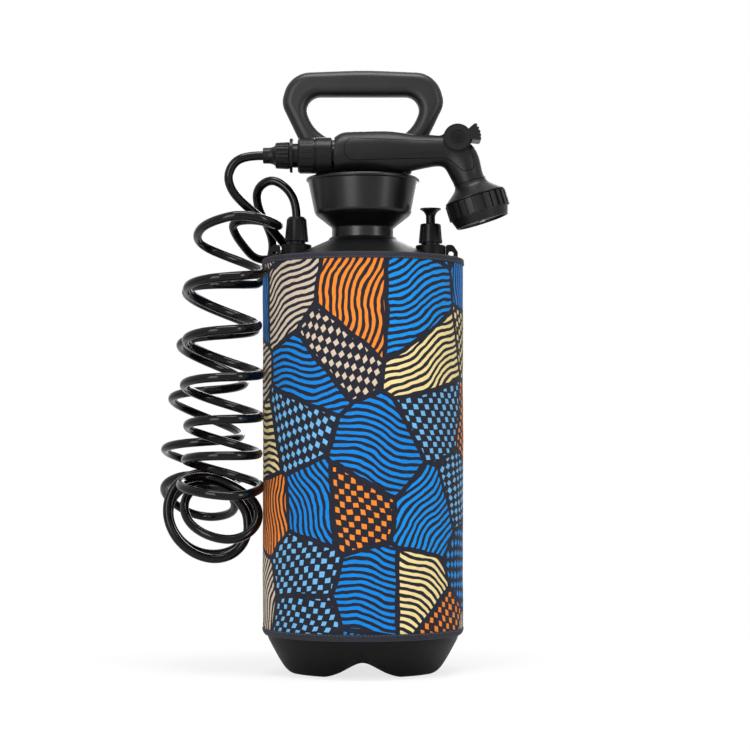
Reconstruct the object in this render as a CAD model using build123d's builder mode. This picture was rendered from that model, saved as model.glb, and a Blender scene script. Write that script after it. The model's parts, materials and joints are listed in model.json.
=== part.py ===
"""Portable pressure shower: an 8 litre pump tank in a soft printed sleeve, with a curly hose and a hand shower.

Millimetres, +Z up. The origin is on the floor, on the tank's axis; +X is towards the relief valve and the
hand shower's head, and -Y is the front, where the hand shower lies across the filler bowl.
"""
from build123d import *
import os
from math import atan2, cos, degrees, hypot, pi, radians, sin, tan

os.makedirs("parts", exist_ok=True)

# Clearances
fit_gap = 0.3  # between pieces that only lie beside each other
running_gap = 0.08  # radial, between a shaft and its bore

# Tank
tank_radius = 91.5
tank_wall = 3.0
base_radius = 73.0
base_corner = 4.5
base_height = 34.0  # where the tapered base reaches the full width
shoulder_slope = 24.0  # degrees below the level
shoulder_corner = 14.0
seat_height = 410.5  # the flat ring that the filler bowl stands on
seat_radius = 31.5
seat_step = 1.8
arch_height = 14.0
arch_drop = 1.2  # how much lower the arches at the sides are
arch_dip = 1.0  # how far the arches' feet run out below the floor
arch_half_width = 47.0
arch_flare = 14.0  # how far the mouth of an arch opens at the tank's side
neck_radius = 26.8
neck_wall = 2.7
neck_top = 424.0

# Ports in the shoulder, and the lugs for a carrying strap
outlet_x = -63.0
relief_x = 64.2
boss_radius = 14.25
boss_rise = 9.4  # above the shoulder at the boss's centre
port_radius = 7.0
lug_inner_x = 78.6
lug_width = 11.4
lug_thickness = 5.0
lug_top = 404.0
lug_hole_radius = 2.5
lug_hole_x = 83.6
lug_hole_z = 395.4

# Soft sleeve
sleeve_thickness = 3.2
sleeve_bottom = 35.0
sleeve_top = 388.8
binding_thickness = 0.6
binding_width = 5.0
hem_width = 6.5
hem_tuck = 2.2  # how far the lower binding draws in

# Filler bowl
bowl_neck_radius = 29.5
bowl_wall = 2.4
bowl_bottom_height = 420.2
bowl_shoulder_radius = 45.6
bowl_shoulder_height = 432.8
bowl_radius = 52.4
bowl_rim_height = 467.6
rim_bead_radius = 2.0

# Pump
cap_radius = 31.0
cap_flange = 5.0
cap_skirt_length = 16.0
collar_radius = 17.5
collar_bore = 13.2
collar_height = 12.0
lock_slot_width = 7.0
lock_lug_reach = 2.4
cap_seal_section = 1.2
cylinder_radius = 21.0
cylinder_wall = 2.0
cylinder_bottom = 146.0
rod_radius = 6.0
piston_bottom = 166.0
piston_height = 12.0
piston_gap = 0.8  # between the piston and the cylinder, which only the cup bridges
cup_section = 2.2

# Pump handle, a flat loop with rounded edges on a tapered web
handle_half_depth = 11.0
handle_edge_radius = 8.6
handle_top = 568.5
handle_half_width = 77.4
handle_side_height = 538.0
handle_crown = 1.8
handle_foot_half_width = 33.0
handle_foot_height = 446.0
handle_web_foot = 28.0  # how far above the handle's foot the web's recess starts
handle_hub_half_depth = 12.0  # the hub has a flat face that passes behind the hand shower
hand_hole_top = 544.4
hand_hole_bottom = 502.0
hand_hole_top_half = 58.0
hand_hole_bottom_half = 44.0
web_recess = 4.0

# Outlet and relief valve
nut_base_radius = 11.4
nut_groove_radius = 0.75
nut_groove_count = 16
outlet_nut_top_radius = 9.4
outlet_nut_length = 23.6
relief_nut_top_radius = 9.7
relief_nut_length = 18.4
port_flange_thickness = 2.0
thread_radius = 6.5
thread_length = 8.0
barb_radius = 2.75
water_bore = 2.0
dip_tube_radius = 4.5
dip_tube_wall = 1.0
dip_tube_bottom = 26.0
strainer_radius = 7.5
strainer_height = 16.0
relief_bore = 5.2
relief_stem_radius = 2.2
relief_knob_radius = 9.9
relief_knob_neck = 4.4
relief_knob_top = 438.6
relief_foot_height = 1.6
relief_foot_gap = 0.6
spring_wire = 0.55
spring_turns = 4

# Hose
hose_radius = 4.25
coil_radius = 38.5
coil_wall = 3.0

# Hand shower: hand_y and hand_z place the grip's axis
hand_y = -30.0
grip_start_x = -26.5
coupling_radius = 17.0
lever_x = 88.4
lever_z = 500.1
lever_hub_radius = 13.4
lever_hub_half_depth = 11.0
lever_disc_radius = 11.8
lever_disc_thickness = 3.0
lever_recess_radius = 7.0
spool_radius = 5.0
lever_socket_radius = spool_radius - 1.5
grip_side_plane = 22.0  # a plane beside the grip, from which its side panels are cut
neck_end_x = 100.3
neck_end_z = 460.5
neck_end_radius = 15.3
head_angle = 17.5  # degrees that the spray axis leans out from straight down
head_cone_length = 15.4
head_cone_radius = 28.4
dial_length = 15.6
dial_radius = 29.2
dial_face_length = 8.2
dial_face_radius = 24.8
dial_face_lip = 2.4
cone_middle_bulge = 4.6  # how much wider the head cone is halfway than the neck's end
face_screw_radius = 1.3
dial_rib_count = 24
dial_rib_width = 4.2
dial_rib_depth = 1.6
face_recess = 2.0
jet_radius = 0.9
waterway_radius = 4.5

# Quick coupling between the hose and the hand shower
collar_start_x = -60.7
collar_end_x = -28.9
collar_travel = 4.0
coupling_core_radius = 11.2
flange_radius = 15.9
flange_thickness = 2.8
hose_nut_radius = 12.6
hose_nut_length = 13.1
ferrule_length = 11.6
ferrule_radius = 7.4
ferrule_flare = 10.3
adapter_radius = 7.75
adapter_groove_depth = 1.4  # the groove that the locking claws grip
adapter_groove_start = 13.0
adapter_groove_end = 17.0
adapter_flange = 3.4
adapter_plug_length = 12.0
adapter_seal_section = 0.75
core_sleeve_radius = thread_radius + 2.5
collar_lip_radius = coupling_core_radius + 1.6

# Worked out from the sizes above
neck_bore = neck_radius - neck_wall
sleeve_inner = tank_radius + fit_gap
sleeve_outer = sleeve_inner + sleeve_thickness
hand_z = bowl_rim_height + fit_gap + coupling_radius
flange_x = collar_start_x - collar_travel - 0.7
nut_end_x = flange_x - flange_thickness - 0.5
ferrule_end_x = nut_end_x - hose_nut_length
hose_start_x = ferrule_end_x - ferrule_length
head_axis_direction = (sin(radians(head_angle)), 0, -cos(radians(head_angle)))

# Planes of the profiles that are turned round an axis
hand_plane = Plane(origin=(0, hand_y, hand_z), x_dir=(1, 0, 0), z_dir=(0, -1, 0))
hand_axis = Axis((0, hand_y, hand_z), (1, 0, 0))
hand_ring_plane = Plane(origin=(0, hand_y, hand_z), x_dir=(0, 1, 0), z_dir=(1, 0, 0))
head_origin = (neck_end_x, hand_y, neck_end_z)
head_plane = Plane(origin=head_origin, x_dir=head_axis_direction, z_dir=(0, -1, 0))
head_axis = Axis(head_origin, head_axis_direction)
head_ring_plane = Plane(origin=head_origin, x_dir=(0, 1, 0), z_dir=head_axis_direction)
lever_plane = Plane(origin=(lever_x, hand_y, lever_z), x_dir=(1, 0, 0), z_dir=(0, -1, 0))
outlet_axis = Axis((outlet_x, 0, 0), (0, 0, 1))
outlet_ring_plane = Plane.XY.move(Location((outlet_x, 0, 0)))
relief_axis = Axis((relief_x, 0, 0), (0, 0, 1))
relief_ring_plane = Plane.XY.move(Location((relief_x, 0, 0)))


def shoulder_height(radius):
    """Height of the shoulder's outer surface at a distance from the tank's axis."""
    return seat_height - seat_step - (radius - seat_radius) * tan(radians(shoulder_slope))


def outline(*corners):
    """Closed line through corners, each of them (x, y, radius); a radius of 0 leaves the corner sharp."""
    points = [Vector(x, y) for x, y, _ in corners]
    arc_starts = []
    arc_ends = []
    for i, (_, _, radius) in enumerate(corners):
        before = (points[i - 1] - points[i]).normalized()
        after = (points[(i + 1) % len(points)] - points[i]).normalized()
        half_angle = radians(before.get_angle(after)) / 2
        arc_starts.append(points[i] + before * (radius / tan(half_angle)))
        arc_ends.append(points[i] + after * (radius / tan(half_angle)))
        if radius > 0:
            middle = points[i] + (before + after).normalized() * (radius / sin(half_angle) - radius)
            ThreePointArc(arc_starts[i], middle, arc_ends[i])
    for i in range(len(points)):
        Line(arc_ends[i - 1], arc_starts[i])


def box_outline(x0, y0, x1, y1):
    """Closed rectangle between two opposite corners."""
    Polyline((x0, y0), (x1, y0), (x1, y1), (x0, y1), close=True)


def flutes(plane, start, stop, start_radius, stop_radius, cut_radius, count):
    """Cuts round grooves along the piece being built, evenly about the plane's normal, following a taper."""
    lean = degrees(atan2(start_radius - stop_radius, stop - start))
    middle = Location(((start_radius + stop_radius) / 2, 0, (start + stop) / 2), (0, -lean, 0))
    with Locations(plane):
        with PolarLocations(0, count):
            with Locations(middle):
                Cylinder(cut_radius, hypot(stop - start, start_radius - stop_radius), mode=Mode.SUBTRACT)


def arch_line(half_width, height):
    """Closed bell-shaped outline of an arch, whose feet run out a little below the floor."""
    Spline((-half_width, -arch_dip), (0, height), (half_width, -arch_dip), tangents=[(1, 0), (1, 0)])
    Polyline(
        (half_width, -arch_dip),
        (half_width, -2 * arch_dip),
        (-half_width, -2 * arch_dip),
        (-half_width, -arch_dip),
    )


def arches(half_width, height, reach, mouth_reach, flare):
    """Cuts two crossing channels and their four flared mouths out of the piece being built; the second is lower."""
    for side, rise in ((Plane.XZ, height), (Plane.YZ, height - arch_drop)):
        with BuildSketch(side.offset(-mouth_reach)) as channel:
            with BuildLine():
                arch_line(half_width, rise)
            make_face()
        extrude(channel.sketch, amount=2 * mouth_reach, mode=Mode.SUBTRACT)
        for direction in (1, -1):
            with BuildSketch(side.offset(direction * reach)) as throat:
                with BuildLine():
                    arch_line(half_width, rise)
                make_face()
            with BuildSketch(side.offset(direction * mouth_reach)) as mouth:
                with BuildLine():
                    arch_line(half_width + flare, rise + flare)
                make_face()
            loft([throat.sketch, mouth.sketch], mode=Mode.SUBTRACT)


# Space inside the tank, one wall in from its outside
with BuildPart() as tank_space:
    inner_radius = tank_radius - tank_wall
    with BuildSketch(Plane.XZ):
        with BuildLine():
            outline(
                (0, tank_wall, 0),
                (base_radius - tank_wall, tank_wall, base_corner),
                (inner_radius, base_height + tank_wall / 2, 22),
                (inner_radius, shoulder_height(inner_radius) - tank_wall, shoulder_corner - tank_wall),
                (seat_radius, seat_height - seat_step - tank_wall, 0),
                (0, seat_height - seat_step - tank_wall, 0),
            )
        make_face()
    revolve(axis=Axis.Z)
    arches(arch_half_width + tank_wall, arch_height + tank_wall, base_radius, tank_radius, arch_flare)

# Tank: blow-moulded bottle on four feet, with a threaded neck, two ports and two strap lugs
with BuildPart() as tank:
    with BuildSketch(Plane.XZ):
        with BuildLine():
            outline(
                (0, 0, 0),
                (base_radius, 0, base_corner),
                (tank_radius, base_height, 25),
                (tank_radius, shoulder_height(tank_radius), shoulder_corner),
                (seat_radius + seat_step, shoulder_height(seat_radius + seat_step), 2),
                (seat_radius, seat_height, 0),
                (neck_radius, seat_height, 0),
                (neck_radius, neck_top, 0.5),
                (0, neck_top, 0),
            )
        make_face()
    revolve(axis=Axis.Z)
    for port_x in (outlet_x, relief_x):
        boss_base = shoulder_height(abs(port_x) + boss_radius) - tank_wall
        boss_top = shoulder_height(abs(port_x)) + boss_rise
        with BuildSketch(Plane.XY.offset(boss_base)):
            with Locations((port_x, 0)):
                Circle(boss_radius)
        extrude(amount=boss_top - boss_base)
        fillet(tank.faces().filter_by_position(Axis.Z, boss_top - 0.01, boss_top + 0.01).edges(), 1.2)
    for side in (-1, 1):
        with BuildSketch(Plane.XZ.offset(-lug_thickness / 2)):
            with BuildLine():
                outline(
                    (side * lug_inner_x, shoulder_height(lug_inner_x) - 2, 0),
                    (side * lug_inner_x, lug_top, 2),
                    (side * (lug_inner_x + lug_width * 0.6), lug_top, 4),
                    (side * (lug_inner_x + lug_width), lug_top - lug_width * 0.6, 3),
                    (side * (lug_inner_x + lug_width), shoulder_height(tank_radius) - 8, 0),
                )
            make_face()
        extrude(amount=lug_thickness)
        with Locations((side * lug_hole_x, 0, lug_hole_z)):
            Cylinder(lug_hole_radius, 4 * lug_thickness, rotation=(90, 0, 0), mode=Mode.SUBTRACT)
    arches(arch_half_width, arch_height, base_radius, tank_radius + tank_wall, arch_flare + tank_wall)
    add(tank_space.part, mode=Mode.SUBTRACT)
    with BuildSketch(Plane.XY.offset(neck_top)):
        Circle(neck_bore)
    extrude(amount=seat_height - neck_top - 20, mode=Mode.SUBTRACT)
    for port_x in (outlet_x, relief_x):
        with BuildSketch(Plane.XY.offset(seat_height)):
            with Locations((port_x, 0)):
                Circle(port_radius)
        extrude(amount=-50, mode=Mode.SUBTRACT)
tank.part.label = "tank"
export_step(tank.part, "parts/tank.step")
outlet_base = shoulder_height(abs(outlet_x)) + boss_rise
relief_base = shoulder_height(abs(relief_x)) + boss_rise

# Sleeve: a soft tube over the tank's side, with a bound edge at each end
with BuildPart() as neoprene_sleeve:
    with BuildSketch(Plane.XY.offset(sleeve_bottom + hem_width)):
        Circle(sleeve_outer)
        Circle(sleeve_inner, mode=Mode.SUBTRACT)
    extrude(amount=sleeve_top - sleeve_bottom - hem_width)
neoprene_sleeve.part.label = "neoprene_sleeve"
export_step(neoprene_sleeve.part, "parts/neoprene_sleeve.step")

with BuildPart() as sleeve_top_binding:
    with BuildSketch(Plane.XZ):
        with BuildLine():
            Polyline(
                (sleeve_outer, sleeve_top - binding_width),
                (sleeve_outer + binding_thickness, sleeve_top - binding_width),
                (sleeve_outer + binding_thickness, sleeve_top + binding_thickness),
                (sleeve_inner, sleeve_top + binding_thickness),
                (sleeve_inner, sleeve_top),
                (sleeve_outer, sleeve_top),
                close=True,
            )
        make_face()
    revolve(axis=Axis.Z)
sleeve_top_binding.part.label = "sleeve_top_binding"
export_step(sleeve_top_binding.part, "parts/sleeve_top_binding.step")

with BuildPart() as sleeve_bottom_binding:
    with BuildSketch(Plane.XZ):
        with BuildLine():
            Polyline(
                (sleeve_inner, sleeve_bottom + hem_width),
                (sleeve_outer, sleeve_bottom + hem_width),
                (sleeve_outer - hem_tuck, sleeve_bottom),
                (sleeve_inner - hem_tuck / 4, sleeve_bottom),
                close=True,
            )
        make_face()
    revolve(axis=Axis.Z)
sleeve_bottom_binding.part.label = "sleeve_bottom_binding"
export_step(sleeve_bottom_binding.part, "parts/sleeve_bottom_binding.step")

# Filler bowl: open funnel with a rolled rim, standing on the tank's seat round the neck
with BuildPart() as filler_bowl:
    with BuildSketch(Plane.XZ):
        with BuildLine():
            outline(
                (neck_radius + fit_gap, seat_height, 0),
                (bowl_neck_radius, seat_height, 0),
                (bowl_neck_radius, bowl_bottom_height, 3),
                (bowl_shoulder_radius, bowl_shoulder_height, 9),
                (bowl_radius, bowl_rim_height - rim_bead_radius, 0),
                (bowl_radius - bowl_wall, bowl_rim_height - rim_bead_radius, 0),
                (bowl_shoulder_radius - bowl_wall, bowl_shoulder_height + bowl_wall / 2, 6.6),
                (neck_radius + 3.6, neck_top, 3),
                (neck_radius + fit_gap, neck_top, 0),
            )
        make_face()
    revolve(axis=Axis.Z)
    with BuildSketch(Plane.XZ):
        with Locations((bowl_radius - rim_bead_radius / 4, bowl_rim_height - rim_bead_radius)):
            Circle(rim_bead_radius)
    revolve(axis=Axis.Z)
filler_bowl.part.label = "filler_bowl"
export_step(filler_bowl.part, "parts/filler_bowl.step")

# Pump cap: screws into the neck and holds the cylinder; two upright slots in its collar take the handle's lugs
cap_bottom = neck_top + fit_gap
cap_top = cap_bottom + cap_flange
collar_top = cap_top + collar_height
seal_radius = (neck_radius + neck_bore) / 2
with BuildPart() as pump_cap:
    with BuildSketch(Plane.XZ):
        with BuildLine():
            outline(
                (rod_radius + running_gap, cap_bottom - 6, 0),
                (rod_radius + 3, cap_bottom - 6, 0),
                (rod_radius + 3, cap_bottom - 2, 1),
                (cylinder_radius, cap_bottom - 2, 0),
                (cylinder_radius, cap_bottom - cap_skirt_length, 0),
                (neck_bore - fit_gap, cap_bottom - cap_skirt_length, 0),
                (neck_bore - fit_gap, cap_bottom, 0),
                (cap_radius, cap_bottom, 1),
                (cap_radius, cap_top - 1, 0.8),
                (collar_radius, cap_top, 0.8),
                (collar_radius, collar_top, 0.8),
                (collar_bore, collar_top, 0),
                (collar_bore, cap_top - 1, 0),
                (rod_radius + running_gap, cap_top - 1, 0),
            )
        make_face()
    revolve(axis=Axis.Z)
    with BuildSketch(Plane.XZ):
        with BuildLine():
            box_outline(
                seal_radius - cap_seal_section - 0.2,
                cap_bottom,
                seal_radius + cap_seal_section + 0.2,
                cap_bottom + 2 * cap_seal_section - fit_gap,
            )
        make_face()
    revolve(axis=Axis.Z, mode=Mode.SUBTRACT)
    with PolarLocations(0, 2):
        with Locations((collar_bore + lock_lug_reach / 2, 0, collar_top)):
            Box(2 * lock_lug_reach, lock_slot_width, 2 * (collar_height - 2), mode=Mode.SUBTRACT)
    flutes(Plane.XY, cap_bottom - 1, cap_top + 2, cap_radius + 0.6, cap_radius + 0.6, 1.6, 18)
pump_cap.part.label = "pump_cap"
export_step(pump_cap.part, "parts/pump_cap.step")

with BuildPart() as cap_seal:
    with BuildSketch(Plane.XZ):
        with Locations((seal_radius, neck_top + cap_seal_section)):
            Circle(cap_seal_section)
    revolve(axis=Axis.Z)
cap_seal.part.label = "cap_seal"
export_step(cap_seal.part, "parts/cap_seal.step")

# Pump cylinder, open at the top into the cap, with a check valve under four ports in its floor
cylinder_bore = cylinder_radius - cylinder_wall
cylinder_top = cap_bottom - 2
with BuildPart() as pump_cylinder:
    with BuildSketch(Plane.XY.offset(cylinder_bottom)):
        Circle(cylinder_radius)
    extrude(amount=cylinder_top - cylinder_bottom)
    fillet(pump_cylinder.faces().sort_by(Axis.Z)[0].edges(), 1.5)
    with BuildSketch(Plane.XY.offset(cylinder_bottom + 2 * cylinder_wall)):
        Circle(cylinder_bore)
    extrude(amount=cylinder_top - cylinder_bottom, mode=Mode.SUBTRACT)
    with BuildSketch(Plane.XY.offset(cylinder_bottom)):
        Circle(1.6)
        with PolarLocations(6, 4):
            Circle(1.5)
    extrude(amount=2 * cylinder_wall, mode=Mode.SUBTRACT)
pump_cylinder.part.label = "pump_cylinder"
export_step(pump_cylinder.part, "parts/pump_cylinder.step")

with BuildPart() as check_valve:
    with BuildSketch(Plane.XZ):
        with BuildLine():
            outline(
                (0, cylinder_bottom - 2, 0),
                (9, cylinder_bottom - 0.8, 0),
                (9, cylinder_bottom, 0),
                (1.5, cylinder_bottom, 0),
                (1.5, cylinder_bottom + 2 * cylinder_wall, 0),
                (2.6, cylinder_bottom + 2 * cylinder_wall, 0),
                (0, cylinder_bottom + 2 * cylinder_wall + 4, 0),
            )
        make_face()
    revolve(axis=Axis.Z)
check_valve.part.label = "check_valve"
export_step(check_valve.part, "parts/check_valve.step")

# Pump rod, piston and cup, which move with the handle
hub_bottom = collar_top + fit_gap
rod_top = handle_foot_height + 22
with BuildPart() as pump_rod:
    with BuildSketch(Plane.XY.offset(piston_bottom)):
        Circle(rod_radius)
    extrude(amount=rod_top - piston_bottom)
    chamfer(pump_rod.faces().sort_by(Axis.Z)[-1].edges(), 1)
pump_rod.part.label = "pump_rod"
export_step(pump_rod.part, "parts/pump_rod.step")

groove_low = piston_bottom + piston_height / 2 - cup_section
with BuildPart() as piston:
    with BuildSketch(Plane.XZ):
        with BuildLine():
            Polyline(
                (rod_radius, piston_bottom),
                (cylinder_bore - piston_gap, piston_bottom),
                (cylinder_bore - piston_gap, groove_low),
                (cylinder_bore - 4, groove_low),
                (cylinder_bore - 4, groove_low + 2 * cup_section),
                (cylinder_bore - piston_gap, groove_low + 2 * cup_section),
                (cylinder_bore - piston_gap, piston_bottom + piston_height),
                (rod_radius, piston_bottom + piston_height),
                close=True,
            )
        make_face()
    revolve(axis=Axis.Z)
piston.part.label = "piston"
export_step(piston.part, "parts/piston.step")

with BuildPart() as piston_cup:
    with BuildSketch(Plane.XZ):
        with BuildLine():
            Polyline(
                (cylinder_bore - 4, groove_low),
                (cylinder_bore - running_gap, groove_low + 0.4),
                (cylinder_bore - running_gap, groove_low + 2 * cup_section - 0.4),
                (cylinder_bore - 4, groove_low + 2 * cup_section),
                close=True,
            )
        make_face()
    revolve(axis=Axis.Z)
piston_cup.part.label = "piston_cup"
export_step(piston_cup.part, "parts/piston_cup.step")

# Pump handle: the hand hole is cut through a tapered loop whose edges are rounded almost to a tube
with BuildPart() as pump_handle:
    with BuildSketch(Plane.XZ.offset(-handle_half_depth)):
        with BuildLine():
            outline(
                (-handle_foot_half_width, handle_foot_height, 12),
                (handle_foot_half_width, handle_foot_height, 12),
                (handle_half_width, handle_side_height, 18),
                (handle_half_width - 8, handle_top - handle_crown, 26),
                (0, handle_top + handle_crown / 2, 400),
                (8 - handle_half_width, handle_top - handle_crown, 26),
                (-handle_half_width, handle_side_height, 18),
            )
        make_face()
        with BuildLine():
            outline(
                (-hand_hole_bottom_half, hand_hole_bottom, 36),
                (hand_hole_bottom_half, hand_hole_bottom, 36),
                (hand_hole_top_half, hand_hole_top, 13),
                (-hand_hole_top_half, hand_hole_top, 13),
            )
        make_face(mode=Mode.SUBTRACT)
    extrude(amount=2 * handle_half_depth)
    fillet(pump_handle.faces().filter_by(Axis.Y).edges(), handle_edge_radius)
    for side in (-1, 1):
        with BuildSketch(Plane.XZ.offset(side * handle_half_depth)):
            with BuildLine():
                outline(
                    (-handle_foot_half_width + 3, handle_foot_height + handle_web_foot, 5),
                    (handle_foot_half_width - 3, handle_foot_height + handle_web_foot, 5),
                    (hand_hole_bottom_half - 4, hand_hole_bottom - 9, 5),
                    (4 - hand_hole_bottom_half, hand_hole_bottom - 9, 5),
                )
            make_face()
        extrude(amount=-side * web_recess, mode=Mode.SUBTRACT)
    with BuildSketch(Plane.XZ):
        with BuildLine():
            outline(
                (0, cap_top, 0),
                (collar_bore - fit_gap, cap_top, 0.8),
                (collar_bore - fit_gap, hub_bottom, 0),
                (collar_radius, hub_bottom, 0.8),
                (collar_radius, handle_foot_height + 18, 3),
                (0, handle_foot_height + 26, 0),
            )
        make_face()
    revolve(axis=Axis.Z)
    for side in (-1, 1):
        with BuildSketch(Plane.XZ.offset(side * handle_hub_half_depth)):
            with BuildLine():
                box_outline(-collar_radius, hub_bottom, collar_radius, rod_top + 10)
            make_face()
        extrude(amount=side * collar_radius, mode=Mode.SUBTRACT)
    with PolarLocations(0, 2):
        with Locations((collar_bore - fit_gap + lock_lug_reach / 2 - 0.5, 0, cap_top + 5)):
            Box(lock_lug_reach, lock_slot_width - 2 * fit_gap, 5)
    with BuildSketch(Plane.XY.offset(cap_top)):
        Circle(rod_radius)
    extrude(amount=rod_top - cap_top, mode=Mode.SUBTRACT)
pump_handle.part.label = "pump_handle"
export_step(pump_handle.part, "parts/pump_handle.step")

# Outlet: a threaded connector in the left port, its washer and the ribbed nut that clamps the hose
with BuildPart() as outlet_seal:
    with BuildSketch(Plane.XY.offset(outlet_base)):
        with Locations((outlet_x, 0)):
            Circle(port_radius + 2)
            Circle(port_radius, mode=Mode.SUBTRACT)
    extrude(amount=1)
outlet_seal.part.label = "outlet_seal"
export_step(outlet_seal.part, "parts/outlet_seal.step")

outlet_flange = outlet_base + 1
outlet_nut_base = outlet_flange + port_flange_thickness
outlet_nut_top = outlet_nut_base + outlet_nut_length
port_bottom = shoulder_height(abs(outlet_x)) - tank_wall - 4
with BuildPart() as outlet_connector:
    with BuildSketch(Plane.XZ):
        with BuildLine():
            Polyline(
                (outlet_x + water_bore, port_bottom - 8),
                (outlet_x + dip_tube_radius - dip_tube_wall, port_bottom - 8),
                (outlet_x + dip_tube_radius - dip_tube_wall, port_bottom),
                (outlet_x + port_radius, port_bottom),
                (outlet_x + port_radius, outlet_flange),
                (outlet_x + port_radius + 1.4, outlet_flange),
                (outlet_x + port_radius + 1.4, outlet_nut_base),
                (outlet_x + thread_radius, outlet_nut_base),
                (outlet_x + thread_radius, outlet_nut_base + thread_length),
                (outlet_x + barb_radius, outlet_nut_base + thread_length),
                (outlet_x + barb_radius, outlet_nut_top - 3),
                (outlet_x + water_bore, outlet_nut_top - 3),
                close=True,
            )
        make_face()
    revolve(axis=outlet_axis)
outlet_connector.part.label = "outlet_connector"
export_step(outlet_connector.part, "parts/outlet_connector.step")

with BuildPart() as outlet_nut:
    with BuildSketch(Plane.XZ):
        with BuildLine():
            outline(
                (outlet_x + thread_radius, outlet_nut_base, 0),
                (outlet_x + nut_base_radius, outlet_nut_base, 0.8),
                (outlet_x + outlet_nut_top_radius, outlet_nut_top - 2.5, 2),
                (outlet_x + outlet_nut_top_radius - 2.2, outlet_nut_top, 1),
                (outlet_x + hose_radius + running_gap, outlet_nut_top, 0),
                (outlet_x + hose_radius + running_gap, outlet_nut_base + thread_length + 1, 0),
                (outlet_x + thread_radius, outlet_nut_base + thread_length + 1, 0),
            )
        make_face()
    revolve(axis=outlet_axis)
    flutes(
        outlet_ring_plane,
        outlet_nut_base - 1,
        outlet_nut_top - 4,
        nut_base_radius,
        outlet_nut_top_radius,
        nut_groove_radius,
        nut_groove_count,
    )
outlet_nut.part.label = "outlet_nut"
export_step(outlet_nut.part, "parts/outlet_nut.step")

# Dip tube down to the base, with a strainer on its end
with BuildPart() as dip_tube:
    with BuildSketch(Plane.XY.offset(dip_tube_bottom)):
        with Locations((outlet_x, 0)):
            Circle(dip_tube_radius)
            Circle(dip_tube_radius - dip_tube_wall, mode=Mode.SUBTRACT)
    extrude(amount=port_bottom - dip_tube_bottom)
dip_tube.part.label = "dip_tube"
export_step(dip_tube.part, "parts/dip_tube.step")

with BuildPart() as strainer:
    with BuildSketch(Plane.XY.offset(dip_tube_bottom - 4)):
        with Locations((outlet_x, 0)):
            Circle(strainer_radius)
    extrude(amount=strainer_height)
    with BuildSketch(Plane.XY.offset(dip_tube_bottom)):
        with Locations((outlet_x, 0)):
            Circle(dip_tube_radius)
    extrude(amount=strainer_height, mode=Mode.SUBTRACT)
    with Locations(outlet_ring_plane.offset(dip_tube_bottom - 4 + strainer_height / 2)):
        with PolarLocations(strainer_radius, 8):
            Box(2, 1.4, strainer_height - 5, mode=Mode.SUBTRACT)
strainer.part.label = "strainer"
export_step(strainer.part, "parts/strainer.step")

# Relief valve: body in the right port, ribbed nut, sprung stem with a trumpet-shaped pull
relief_flange_top = relief_base + port_flange_thickness
relief_nut_top = relief_flange_top + relief_nut_length
relief_seat = relief_base - 14
relief_plate = relief_flange_top + 9
with BuildPart() as relief_valve_body:
    with BuildSketch(Plane.XZ):
        with BuildLine():
            Polyline(
                (relief_x + water_bore, relief_seat - 3),
                (relief_x + port_radius, relief_seat - 3),
                (relief_x + port_radius, relief_base),
                (relief_x + port_radius + 2, relief_base),
                (relief_x + port_radius + 2, relief_flange_top),
                (relief_x + port_radius, relief_flange_top),
                (relief_x + port_radius, relief_plate),
                (relief_x + relief_bore, relief_plate),
                (relief_x + relief_bore, relief_seat),
                (relief_x + water_bore, relief_seat),
                close=True,
            )
        make_face()
    revolve(axis=relief_axis)
relief_valve_body.part.label = "relief_valve_body"
export_step(relief_valve_body.part, "parts/relief_valve_body.step")

with BuildPart() as relief_nut:
    with BuildSketch(Plane.XZ):
        with BuildLine():
            outline(
                (relief_x + port_radius, relief_flange_top, 0),
                (relief_x + nut_base_radius, relief_flange_top, 0.8),
                (relief_x + relief_nut_top_radius, relief_nut_top, 1.4),
                (relief_x + relief_knob_neck + running_gap, relief_nut_top, 0),
                (relief_x + relief_knob_neck + running_gap, relief_plate + 3, 0),
                (relief_x + relief_stem_radius + running_gap, relief_plate + 3, 0),
                (relief_x + relief_stem_radius + running_gap, relief_plate, 0),
                (relief_x + port_radius, relief_plate, 0),
            )
        make_face()
    revolve(axis=relief_axis)
    flutes(
        relief_ring_plane,
        relief_flange_top - 1,
        relief_nut_top - 2.5,
        nut_base_radius,
        relief_nut_top_radius,
        nut_groove_radius,
        nut_groove_count,
    )
relief_nut.part.label = "relief_nut"
export_step(relief_nut.part, "parts/relief_nut.step")

stem_foot = relief_seat + 2
knob_flare = 8.5
with BuildPart() as relief_knob:
    with BuildSketch(Plane.XZ):
        with BuildLine():
            Polyline(
                (relief_x, relief_knob_top - 1.5),
                (relief_x, stem_foot),
                (relief_x + relief_bore - relief_foot_gap, stem_foot),
                (relief_x + relief_bore - relief_foot_gap, stem_foot + relief_foot_height),
                (relief_x + relief_stem_radius, stem_foot + relief_foot_height),
                (relief_x + relief_stem_radius, relief_plate + 3 + fit_gap),
                (relief_x + relief_knob_neck, relief_plate + 3 + fit_gap),
                (relief_x + relief_knob_neck, relief_knob_top - knob_flare),
            )
            Spline(
                (relief_x + relief_knob_neck, relief_knob_top - knob_flare),
                (relief_x + relief_knob_neck + 1.3, relief_knob_top - 4.4),
                (relief_x + relief_knob_radius, relief_knob_top - 1.2),
                tangents=[(0, 1), (1, 0.35)],
            )
            Polyline(
                (relief_x + relief_knob_radius, relief_knob_top - 1.2),
                (relief_x + relief_knob_radius, relief_knob_top),
                (relief_x + relief_knob_radius - 2, relief_knob_top),
                (relief_x, relief_knob_top - 1.5),
            )
        make_face()
    revolve(axis=relief_axis)
relief_knob.part.label = "relief_knob"
export_step(relief_knob.part, "parts/relief_knob.step")

with BuildPart() as relief_seal:
    with BuildSketch(Plane.XY.offset(relief_seat)):
        with Locations((relief_x, 0)):
            Circle(relief_bore - 1.4)
    extrude(amount=stem_foot - relief_seat)
relief_seal.part.label = "relief_seal"
export_step(relief_seal.part, "parts/relief_seal.step")

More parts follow.
